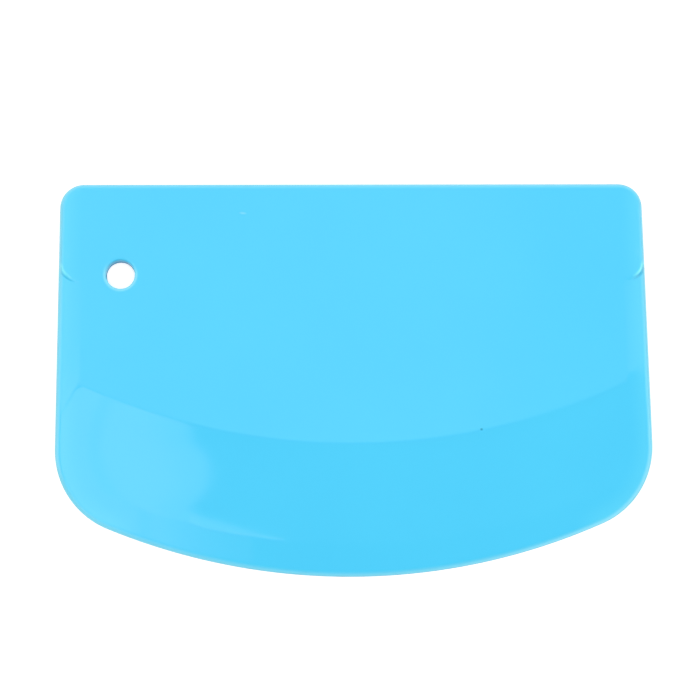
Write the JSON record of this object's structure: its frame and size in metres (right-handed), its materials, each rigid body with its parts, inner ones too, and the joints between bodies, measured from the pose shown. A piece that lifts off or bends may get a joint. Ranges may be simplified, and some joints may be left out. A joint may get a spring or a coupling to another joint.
{
  "type": "dough scraper",
  "caption": "Flat glossy plastic dough scraper with a straight grip edge, a curved tapered working edge, bevelled sides and a hang hole.",
  "frame": {"origin": "on the flat back, in the middle of the plate's width and height", "axes": "+X to the right seen from the front, +Y towards the straight grip edge, +Z out of the front face"},
  "size_m": [0.12, 0.079, 0.002],
  "materials": {
    "blue_plastic": "glossy sky blue moulded plastic, slightly translucent at its thin edge"
  },
  "bodies": {
    "root": {"scraper_plate": "blue_plastic"}
  },
  "joints": []
}
